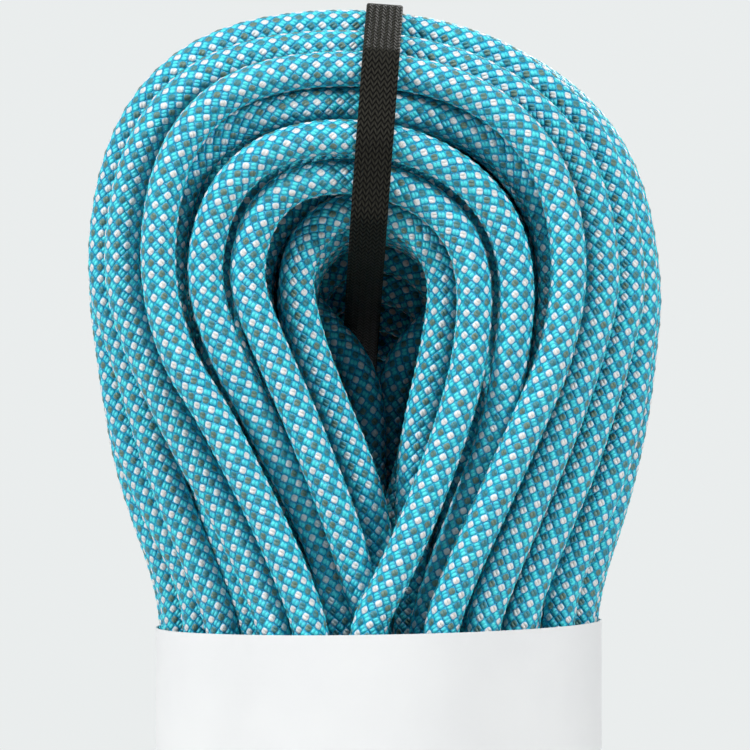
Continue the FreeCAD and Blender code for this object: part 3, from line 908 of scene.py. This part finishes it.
def stitch_tree():
    """The tree, and the identifier of each of its named inputs."""
    tree = bpy.data.node_groups.new("bar tacks", "GeometryNodeTree")
    sockets = tree.interface
    sockets.new_socket("Geometry", in_out="OUTPUT", socket_type="NodeSocketGeometry")
    wanted = {}
    for name, kind, value in STITCH_SIZES:
        socket = sockets.new_socket(name, in_out="INPUT", socket_type=kind)
        if value is not None:
            socket.default_value = value
        wanted[name] = socket.identifier
    given = add_node(tree, "NodeGroupInput").outputs
    grid = add_node(tree, "GeometryNodeMeshGrid", {
        "Vertices X": given["Stitches"], "Size X": given["Row width"],
        "Vertices Y": STITCH_ROWS,
        "Size Y": reckon(tree, "MULTIPLY", given["Row spacing"], STITCH_ROWS - 1),
    })
    thread = add_node(tree, "GeometryNodeMeshCylinder", {
        "Vertices": 8, "Side Segments": 6,
        "Radius": given["Thread radius"], "Depth": given["Stitch height"],
    })
    number = add_node(tree, "GeometryNodeInputIndex").outputs[0]
    uneven = add_node(tree, "FunctionNodeRandomValue", {
        "ID": number, "Seed": 4, 2: -STITCH_UNEVEN, 3: STITCH_UNEVEN,
    }, data_type="FLOAT").outputs[1]
    column = reckon(tree, "FLOOR", reckon(tree, "DIVIDE", number, STITCH_ROWS))
    side = reckon(tree, "MULTIPLY_ADD", reckon(tree, "PINGPONG", column, 1), 2, -1)
    lean = reckon(tree, "MULTIPLY_ADD", side, given["Lean"], uneven)
    turn = add_node(tree, "ShaderNodeCombineXYZ", {"X": math.pi / 2, "Z": lean})
    lay = add_node(tree, "GeometryNodeInstanceOnPoints", {
        "Points": grid.outputs["Mesh"], "Instance": thread.outputs["Mesh"],
        "Rotation": turn.outputs[0],
    })
    real = add_node(tree, "GeometryNodeRealizeInstances", {0: lay.outputs[0]})
    dress = add_node(tree, "GeometryNodeSetMaterial", {
        "Geometry": real.outputs[0], "Material": given["Thread"],
    })
    add_node(tree, "NodeGroupOutput", {0: dress.outputs[0]})
    return tree, wanted


tacks, tack_inputs = stitch_tree()
print("stitch tree inputs:", list(tack_inputs))

# %% [markdown]
# ## The paper sleeve
# A band of white paper is wrapped round the waist and glued to itself behind, where it lies double.
# Paper doesn't stretch, so it goes straight from one outermost strand to the next. A band that
# followed every strand would look like cloth, and a plain oval like a tin. So each ring is mostly
# the sleeve's oval, with a little of the strands' own outline in it, and the rings are evened out
# from level to level. The band is bare.

# %% Paper round the strands
PAPER = 0.4
PAPER_OFF = 0.8  # off the bundle
SKEW = math.tan(math.radians(1.0))
ROUND, ROWS = 288, 64
STRANDS_SHOW = 0.15  # share of the strands' outline in each ring
STIFFNESS, EVENING = 9, 12  # how far round, and how often up and down, the paper is evened out
FLAP = (-14, 12)  # where the double paper behind begins and ends, across the sleeve
RING_ANGLES = np.linspace(-math.pi / 2, 1.5 * math.pi, ROUND, endpoint=False)
RING_WAYS = np.stack([np.cos(RING_ANGLES), np.sin(RING_ANGLES)], axis=1)


def paper_ring(level):
    """Places of the paper round the outermost strands at a level."""
    known = sorted(legs)
    low = max(n for n in known if n <= level)
    high = min(n for n in known if n >= level)
    share = 0.0 if high == low else (level - low) / (high - low)
    strands = legs[low] * (1 - share) + legs[high] * share
    outermost = strands[(strands @ RING_WAYS.T).argmax(axis=0)]
    ring = outermost + RING_WAYS * (ROPE / 2 + PAPER_OFF)
    shifts = range(-STIFFNESS, STIFFNESS + 1)
    return np.mean([np.roll(ring, shift, axis=0) for shift in shifts], axis=0)


def paper_band():
    """The sleeve: an inner and an outer wall of rings, closed at both edges."""
    heights = np.linspace(SLEEVE_LOW, SLEEVE_HIGH, ROWS)
    levels = np.clip(heights, SLEEVE_LOW + 2, SLEEVE_HIGH - 0.1) - CROWN_Z
    rings = np.array([paper_ring(level) for level in levels])
    for _ in range(EVENING):
        rings[1:-1] = (rings[:-2] + rings[1:-1] + rings[2:]) / 3
    oval = (np.array(OVAL) + PAPER_OFF) * RING_WAYS
    rings = STRANDS_SHOW * rings + (1 - STRANDS_SHOW) * oval
    points = []
    for side in (0, 1):
        for z, ring in zip(heights, rings):
            away = ring - ring.mean(axis=0)
            away /= np.linalg.norm(away, axis=1)[:, None]
            on_flap = (ring[:, 1] > 0) & (ring[:, 0] > FLAP[0]) & (ring[:, 0] < FLAP[1])
            thick = side * PAPER * np.where(on_flap, 2, 1)
            placed = ring + away * thick[:, None]
            points += [(x * MM, y * MM, (z + SKEW * x) * MM) for x, y in placed]

    def spot(side, row, n):
        return (side * ROWS + row) * ROUND + n % ROUND

    faces = []
    for n in range(ROUND):
        for row in range(ROWS - 1):
            for side in (1, 0):
                a, b = spot(side, row, n), spot(side, row, n + 1)
                c, d = spot(side, row + 1, n + 1), spot(side, row + 1, n)
                faces.append((a, b, c, d) if side else (a, d, c, b))
        for row, outside in ((ROWS - 1, True), (0, False)):
            a, b = spot(1, row, n), spot(1, row, n + 1)
            c, d = spot(0, row, n + 1), spot(0, row, n)
            faces.append((a, b, c, d) if outside else (a, d, c, b))
    mesh = bpy.data.meshes.new("paper_band")
    mesh.from_pydata(points, [], faces)
    mesh.validate()
    mesh.shade_smooth()
    mesh.set_sharp_from_angle(angle=math.radians(30))
    band = bpy.data.objects.new("paper_band", mesh)
    bpy.context.collection.objects.link(band)
    return band


band = paper_band()
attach(band, "sleeve")
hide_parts("paper_sleeve")
low, high = np.array(band.bound_box).min(axis=0), np.array(band.bound_box).max(axis=0)
print("paper band:", (low / MM).round(1), (high / MM).round(1))

# %% [markdown]
# ## Wiring the materials
# Every material is made of nodes, so it looks right from any side and at any size, and needs no
# picture file. A small helper adds a node and joins it up, so that each material below reads like a
# sum.

# %% Helper for node materials
def paint(colour):
    """A colour as a socket takes it; another node's output stays as it is."""
    return colour if isinstance(colour, bpy.types.NodeSocket) else (*colour, 1)


class Wiring:
    """The nodes of one material, ending in its Principled shader."""

    def __init__(self, name):
        self.material = bpy.data.materials.new(name)
        self.material.use_nodes = True
        self.tree = self.material.node_tree
        self.shader = self.tree.nodes["Principled BSDF"]

    def node(self, kind, inputs=None, **settings):
        return add_node(self.tree, kind, inputs, **settings)

    def math(self, operation, *values, clamp=False):
        return reckon(self.tree, operation, *values, clamp=clamp)

    def plus(self, first, second):
        return self.math("ADD", first, second)

    def minus(self, first, second):
        return self.math("SUBTRACT", first, second)

    def times(self, first, second):
        return self.math("MULTIPLY", first, second)

    def dome(self, place, steepness):
        """1 in the middle, and less with the square of the distance, down to 0."""
        fall = self.times(self.times(place, place), steepness)
        return self.math("SUBTRACT", 1.0, fall, clamp=True)

    def mix(self, amount, first, second):
        inputs = {0: amount, 6: paint(first), 7: paint(second)}
        return self.node("ShaderNodeMix", inputs, data_type="RGBA").outputs[2]

    def uv(self, layer):
        """The two coordinates of a UV map."""
        whole = self.node("ShaderNodeUVMap", uv_map=layer).outputs[0]
        parts = self.node("ShaderNodeSeparateXYZ", {0: whole}).outputs
        return parts[0], parts[1]

    def place(self):
        """Object coordinates, in metres."""
        return self.node("ShaderNodeTexCoord").outputs["Object"]

    def vector(self, x, y, z):
        return self.node("ShaderNodeCombineXYZ", {0: x, 1: y, 2: z}).outputs[0]

    def noise(self, vector, scale, detail=2.0, roughness=0.5):
        inputs = {"Vector": vector, "Scale": scale, "Detail": detail, "Roughness": roughness}
        return self.node("ShaderNodeTexNoise", inputs).outputs["Fac"]

    def chance(self, x, y):
        """A number from 0 to 1 that is the same for the same x and y."""
        inputs = {"Vector": self.vector(x, y, 0.0)}
        return self.node("ShaderNodeTexWhiteNoise", inputs, noise_dimensions="2D").outputs["Value"]

    def fit(self, value, low, high, to_low=0.0, to_high=1.0, smooth=True):
        """Maps low..high to to_low..to_high."""
        inputs = dict(enumerate((value, low, high, to_low, to_high)))
        kind = "SMOOTHSTEP" if smooth else "LINEAR"
        return self.node("ShaderNodeMapRange", inputs, interpolation_type=kind).outputs[0]

    def relief(self, height, depth_mm):
        """Bump of this many millimetres on the shader."""
        inputs = {"Strength": 1.0, "Distance": depth_mm * MM, "Height": height}
        bump = self.node("ShaderNodeBump", inputs).outputs[0]
        put(self.tree, bump, self.shader.inputs["Normal"])

    def finish(self, colour, roughness, **plain):
        """Joins colour and roughness, and sets plain numbers on the shader."""
        put(self.tree, paint(colour), self.shader.inputs["Base Color"])
        put(self.tree, roughness, self.shader.inputs["Roughness"])
        for name, value in plain.items():
            self.shader.inputs[name.replace("_", " ")].default_value = value
        print("material", self.material.name, "has", len(self.tree.nodes), "nodes")
        return self.material


print("Wiring can:", [name for name in vars(Wiring) if not name.startswith("_")])

# %% [markdown]
# ## The sheath's braid
# Forty bobbins braid the sheath, two yarns side by side on each. Those that wind one way are white
# and olive grey by turns, those that wind the other way are turquoise. So the pattern is a
# chequerboard of small floats, each made of two parallel yarns that rise out of the braid and dive
# back in. The turquoise is painted pale on the top of a float, as a painted highlight, and dark
# blue where it dives in, as painted shade. Round a turquoise float one looks down into the braid,
# painted dark blue as shade. The pale floats are smaller, and the neighbouring turquoise yarns show
# round them, painted a darker blue as shade. A wave or checker texture gives only squares of flat
# colour, so the floats are counted and shaped by sums on the UV map.

# %% Lattice of the floats
def float_lattice(wire):
    """Which two strands cross here, if turquoise is on top, and the place on its float.

    Strands are counted along the braid's two slants. The place is how far one is from the middle
    of the float, across its yarns and along them, so it is swapped for the turquoise strands.
    """
    column, row = wire.uv("Braid")
    to_right = wire.times(wire.plus(column, row), 0.5)
    to_left = wire.times(wire.minus(column, row), 0.5)
    pale_strand, blue_strand = wire.math("ROUND", to_right), wire.math("ROUND", to_left)
    off_right, off_left = wire.minus(to_right, pale_strand), wire.minus(to_left, blue_strand)
    blue = wire.math("FLOORED_MODULO", wire.plus(pale_strand, blue_strand), 2.0)
    swap = wire.times(blue, wire.minus(off_left, off_right))
    across, along = wire.plus(off_right, swap), wire.minus(off_left, swap)
    return pale_strand, blue_strand, blue, across, along


print("floats on a metre of rope:", round(COLUMNS / (2 * ROW * MM)))

# %% Shape of a float
TWO_YARNS = 0.23  # from a float's middle to the middle of each of its yarns
YARN_ROUND, FLOAT_ROUND = 13.5, 3.8
YARN_SHARE = 0.55  # of a float's height that the groove between its yarns takes


def float_height(wire, across, along):
    """The height of a float's two yarns, from 0 to 1."""
    to_yarn = wire.minus(wire.math("ABSOLUTE", across), TWO_YARNS)
    ridge = wire.dome(to_yarn, YARN_ROUND)
    return wire.times(
        wire.dome(along, FLOAT_ROUND), wire.math("MULTIPLY_ADD", ridge, YARN_SHARE, 1 - YARN_SHARE))


CORNERS_ACROSS, CORNERS_ALONG = 5.6, 6.6
PALE_LOSS = 0.5  # how much more of a pale float is cut away


def float_body(wire, across, along, blue):
    """1 on a float and 0 in the gaps round it; cubes make its corners full."""
    full_across, full_along = (
        wire.math("POWER", wire.math("ABSOLUTE", part), 3.0) for part in (across, along))
    edge = wire.plus(
        wire.times(full_across, CORNERS_ACROSS), wire.times(full_along, CORNERS_ALONG))
    smaller = wire.math("MULTIPLY_ADD", blue, -PALE_LOSS, 1 + PALE_LOSS)
    return wire.fit(wire.minus(1.0, wire.times(edge, smaller)), 0.02, 0.62)


float_side = math.hypot(math.pi * ROPE / COLUMNS, ROW)
print("a float's two yarns lie", round(2 * TWO_YARNS * float_side, 2), "mm apart")


# %% Braided nylon
# The turquoise carries a little red as a painted highlight; the dark blue is partly the dye and
# partly painted shade.
TURQUOISE, DEEP_BLUE = (0.09, 0.96, 1.0), (0.0, 0.40, 0.68)
WHITE, WARM_WHITE = (0.95, 0.96, 0.94), (0.90, 0.86, 0.76)
OLIVE, SLATE = (0.14, 0.24, 0.16), (0.05, 0.25, 0.26)
# Navy and teal are painted shade in the gaps round turquoise floats; the navy also darkens fibre
# streaks.
NAVY, DEEP_TEAL = (0.0, 0.13, 0.30), (0.0, 0.45, 0.60)
# The neighbouring turquoise yarn round a pale float, painted a darker blue as shade.
SHADED_NEIGHBOUR = (0.0, 0.44, 0.74)
BRAID_RELIEF = 0.62


def braided_nylon():
    """Turquoise floats one way, white and olive ones the other, with streaks of single fibres."""
    wire = Wiring("braided_nylon")
    pale_strand, blue_strand, blue, across, along = float_lattice(wire)
    height = float_height(wire, across, along)
    seed = wire.chance(pale_strand, blue_strand)
    fibre = wire.noise(
        wire.vector(wire.times(across, 16.0), wire.times(along, 2.5), wire.times(seed, 40.0)),
        1.0, 3.0, 0.6)
    # Painted light: each turquoise float is painted pale on its top as a highlight and dark blue
    # lower down as shade.
    crown = wire.fit(height, 0.3, 0.85)
    lit = wire.times(crown, wire.fit(seed, 0.0, 1.0, 0.7, 1.0))
    turquoise_light_and_shade = wire.mix(lit, DEEP_BLUE, TURQUOISE)
    snow = wire.mix(wire.fit(height, 0.6, 1.0, 0.0, 0.5), WHITE, WARM_WHITE)
    stone = wire.mix(wire.fit(seed, 0.2, 0.8), SLATE, OLIVE)
    pale = wire.mix(wire.math("FLOORED_MODULO", pale_strand, 2.0), snow, stone)
    yarn = wire.mix(blue, pale, turquoise_light_and_shade)
    streaked = wire.mix(wire.fit(fibre, 0.35, 0.7, 0.0, 0.28, smooth=False), yarn, NAVY)
    # Painted shade in the gaps between floats: navy to teal round a turquoise float, a darker blue
    # round a pale one.
    painted_gap_shade = wire.mix(wire.fit(seed, 0.3, 0.7), NAVY, DEEP_TEAL)
    gap = wire.mix(blue, SHADED_NEIGHBOUR, painted_gap_shade)
    colour = wire.mix(float_body(wire, across, along, blue), gap, streaked)
    wire.relief(wire.plus(height, wire.times(fibre, 0.1)), BRAID_RELIEF)
    return wire.finish(colour, wire.fit(fibre, 0.2, 0.8, 0.32, 0.46), Specular_IOR_Level=0.5)


sheath = braided_nylon()
for tube, _ in cords:
    tube.data.materials.append(sheath)

# %% [markdown]
# ## Webbing, paper, thread and the rope's ends
# The webbing is a close herringbone of black polyester with hardly any shine, since light sinks
# into it; its ridge tops and some streaks along its fibres are painted a lighter olive as a painted
# sheen. The paper is smooth and matt. The rope's ends are cut hot, which melts the nylon to a
# hard dark tip, and a sleeve of clear shrink tube holds each end together. The small parts need
# only a little noise in their colour and surface, because they are seen small.

# %% Black webbing
RIBS, PICKS = 11.0, 0.60  # ribs of the herringbone, and picks in a millimetre
SLANT = 0.95
# The lighter olive colours below are a painted sheen, on the ridge tops and on streaks along the
# fibres.
THREAD_BLACK, THREAD_LIT = (0.001, 0.001, 0.001), (0.028, 0.027, 0.021)
THREAD_STREAK_SHEEN = (0.030, 0.029, 0.023)


def black_webbing():
    """Ridges of thread that slant to and fro from rib to rib."""
    wire = Wiring("black_webbing")
    u, v = wire.uv("Weave")
    ribs = wire.times(u, RIBS)
    slant = wire.math("PINGPONG", ribs, 1.0)
    rows = wire.math("MULTIPLY_ADD", v, PICKS, wire.times(slant, SLANT))
    ridge = wire.dome(wire.minus(wire.math("FRACT", rows), 0.5), 4.0)
    rib = wire.math("SQRT", wire.dome(wire.minus(wire.math("FRACT", ribs), 0.5), 3.6))
    fibre = wire.noise(wire.vector(wire.times(u, 90.0), wire.times(v, 6.0), 0.0), 1.0, 3.0, 0.6)
    height = wire.times(ridge, wire.math("MULTIPLY_ADD", rib, 0.6, 0.4))
    # Painted sheen: the ridge tops are painted lighter olive, and the valleys stay black.
    colour = wire.mix(wire.fit(height, 0.35, 0.95), THREAD_BLACK, THREAD_LIT)
    # Painted sheen: lighter olive streaks along the fibres.
    streak_sheen = wire.mix(wire.fit(fibre, 0.55, 0.8, 0.0, 0.5), colour, THREAD_STREAK_SHEEN)
    wire.relief(wire.plus(height, wire.times(fibre, 0.2)), 0.2)
    return wire.finish(streak_sheen, wire.fit(fibre, 0.3, 0.7, 0.40, 0.50), Specular_IOR_Level=0.045)


webbing_look = black_webbing()
for piece in (strap, flap):
    piece.data.materials.append(webbing_look)


# %% White paper
def white_paper():
    """Nearly even white, with the faint clouds and tooth of pulp."""
    wire = Wiring("white_paper")
    place = wire.place()
    pulp = wire.noise(place, 900.0, 4.0, 0.6)
    cloud = wire.noise(place, 35.0, 2.0, 0.5)
    colour = wire.mix(wire.fit(cloud, 0.3, 0.7), (0.845, 0.85, 0.85), (0.875, 0.88, 0.875))
    wire.relief(pulp, 0.02)
    return wire.finish(colour, wire.fit(pulp, 0.3, 0.7, 0.5, 0.62), Specular_IOR_Level=0.3)


band.data.materials.append(white_paper())


# %% Thread and the rope's ends
def spun_thread(name, dark, light, coarseness):
    """A twisted thread or yarn: fine slanting lines round it."""
    wire = Wiring(name)
    place = wire.place()
    twist = wire.node("ShaderNodeTexWave", {
        "Vector": place, "Scale": 50 / coarseness, "Distortion": 1.5,
    }, bands_direction="DIAGONAL")
    fibre = wire.noise(place, 4000.0, 2.0, 0.5)
    strand = wire.math("MULTIPLY_ADD", fibre, 0.4, twist.outputs["Fac"])
    wire.relief(strand, 0.08)
    colour = wire.mix(wire.fit(strand, 0.2, 1.0), dark, light)
    return wire.finish(colour, wire.fit(fibre, 0.2, 0.8, 0.4, 0.6), Sheen_Weight=0.2)


def fused_nylon():
    """Nylon that has melted and run, with scorched specks."""
    wire = Wiring("fused_nylon")
    place = wire.place()
    flow = wire.noise(place, 420.0, 3.0, 0.55)
    speck = wire.noise(place, 1500.0, 2.0, 0.5)
    colour = wire.mix(wire.fit(flow, 0.35, 0.65), (0.01, 0.10, 0.13), (0.05, 0.06, 0.05))
    scorched = wire.mix(wire.fit(speck, 0.6, 0.75, 0.0, 0.7), colour, (0.012, 0.011, 0.01))
    wire.relief(flow, 0.35)
    return wire.finish(scorched, wire.fit(flow, 0.3, 0.7, 0.18, 0.38), Specular_IOR_Level=0.6)


def clear_tube():
    """Clear shrink tube with a rippled surface."""
    wire = Wiring("clear_shrink_tube")
    ripple = wire.noise(wire.place(), 260.0, 2.0, 0.5)
    wire.relief(ripple, 0.12)
    return wire.finish((0.90, 0.93, 0.94), wire.fit(ripple, 0.3, 0.7, 0.08, 0.2), Alpha=0.16)


looks = {
    "fused_tip": fused_nylon(),
    "marker": clear_tube(),
    "core_strands": spun_thread("core_yarn", (0.55, 0.55, 0.52), (0.85, 0.85, 0.82), 1.2),
}
for name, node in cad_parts.items():
    for ending, look in looks.items():
        if name.endswith(ending):
            node.data.materials.clear()
            node.data.materials.append(look)
            print(name, "is made of", look.name)

# %% Lay the stitches
ON_WEBBING = 0.1  # how far the middle of a thread lies off the webbing's face

thread_look = spun_thread("stitching_thread", (0.008, 0.008, 0.008), (0.05, 0.048, 0.045), 0.5)
holder = bpy.data.objects.new("bar_tack_holder", bpy.data.meshes.new("bar_tacks"))
bpy.context.collection.objects.link(holder)
laying = holder.modifiers.new("bar tacks", "NODES")
laying.node_group = tacks
laying[tack_inputs["Thread"]] = thread_look
depsgraph = bpy.context.evaluated_depsgraph_get()
laid = bpy.data.meshes.new_from_object(holder.evaluated_get(depsgraph))
holder.modifiers.remove(laying)
bpy.data.objects.remove(holder)
outer_face = (back + STRAP_THICK / 2 + ON_WEBBING) * MM
upright = Matrix.Rotation(math.pi / 2, 4, "X")
shift = Matrix.Translation((0, outer_face, behind * MM))
tilt = Matrix.Rotation(STRAP_TILT, 4, "Y")
stand = Matrix.Translation((STRAP_X * MM, 0, CROWN_Z * MM))
laid.transform(stand @ tilt @ shift @ upright)
stitching = bpy.data.objects.new("bar_tacks", laid)
bpy.context.collection.objects.link(stitching)
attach(stitching, "strap")
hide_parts("strap_stitching")
print("stitching faces:", len(laid.polygons))

# %% [markdown]
# ## The studio
# A pale floor and a pale room. The camera sees a near-white background, but the room itself throws
# only a faint, slightly blue light, so that the gaps between the strands and the eye stay dark. A
# soft key light stands high on the left, a weaker one on the right, one overhead, and one behind
# for the views from the back. One could light the room with a picture of a real studio instead,
# but four lamps are easier to follow and to change.

# %% Floor and room
BACKDROP = (0.822, 0.848, 0.848)
ROOM_LIGHT = (0.025, 0.03, 0.04)
FLOOR_HALF = 40.0  # in metres
FLOOR_FADES = (0.35, 1.3)  # distances, in metres, between which it turns into the backdrop


def looks_at_room(tree):
    """1 for a ray that shows the room: to the camera, in a gloss, or through something clear."""
    path = add_node(tree, "ShaderNodeLightPath").outputs
    total = path["Is Camera Ray"]
    for kind in ("Is Glossy Ray", "Is Transmission Ray"):
        total = reckon(tree, "MAXIMUM", total, path[kind])
    return total


def plain_floor():
    """A pale matt floor that runs out into the backdrop's colour."""
    wire = Wiring("studio_floor")
    place = wire.place()
    cloud = wire.noise(place, 1.2, 2.0, 0.5)
    wire.finish(wire.mix(wire.fit(cloud, 0.3, 0.7), (0.78, 0.80, 0.80), (0.81, 0.825, 0.825)), 0.7)
    far = wire.node("ShaderNodeVectorMath", {0: place}, operation="LENGTH").outputs["Value"]
    glow = wire.node("ShaderNodeEmission", {"Color": paint(BACKDROP)})
    blend = wire.node("ShaderNodeMixShader", {
        0: wire.times(wire.fit(far, *FLOOR_FADES), looks_at_room(wire.tree)),
        1: wire.shader.outputs[0], 2: glow.outputs[0],
    })
    put(wire.tree, blend.outputs[0], wire.tree.nodes["Material Output"].inputs["Surface"])
    return wire.material


mesh = bpy.data.meshes.new("floor")
corners = [(x * FLOOR_HALF, y * FLOOR_HALF, 0) for x, y in ((-1, -1), (1, -1), (1, 1), (-1, 1))]
mesh.from_pydata(corners, [], [(0, 1, 2, 3)])
floor = bpy.data.objects.new("floor", mesh)
bpy.context.collection.objects.link(floor)
floor.data.materials.append(plain_floor())

world = bpy.data.worlds.new("Studio")
bpy.context.scene.world = world
world.use_nodes = True
room = world.node_tree
pale = add_node(room, "ShaderNodeMix", {
    0: looks_at_room(room), 6: paint(ROOM_LIGHT), 7: paint(BACKDROP),
}, data_type="RGBA")
put(room, pale.outputs[2], room.nodes["Background"].inputs[0])
print("floor half", FLOOR_HALF, "m wide; nodes in the room:", len(room.nodes))


# %% Lamps
def soft_lamp(name, place, aim, watts, size):
    """A square softbox that faces a point."""
    lamp = bpy.data.lights.new(name, "AREA")
    lamp.energy = watts
    lamp.size = size
    holder = bpy.data.objects.new(name, lamp)
    holder.location = place
    facing = Vector(aim) - Vector(place)
    holder.rotation_euler = facing.to_track_quat("-Z", "Y").to_euler()
    bpy.context.collection.objects.link(holder)


soft_lamp("Key", (-1.35, -0.66, 1.14), (0, 0, 0.40), 19.8, 0.28)
soft_lamp("Fill", (1.10, -0.88, 1.06), (0, 0, 0.40), 13.2, 0.28)
soft_lamp("Overhead", (0.0, -0.50, 1.6), (0, 0, 0.45), 6.8, 0.5)
soft_lamp("Back", (0.5, 1.3, 1.35), (0, 0, 0.35), 11.0, 0.5)
bpy.context.scene.view_settings.view_transform = "Standard"
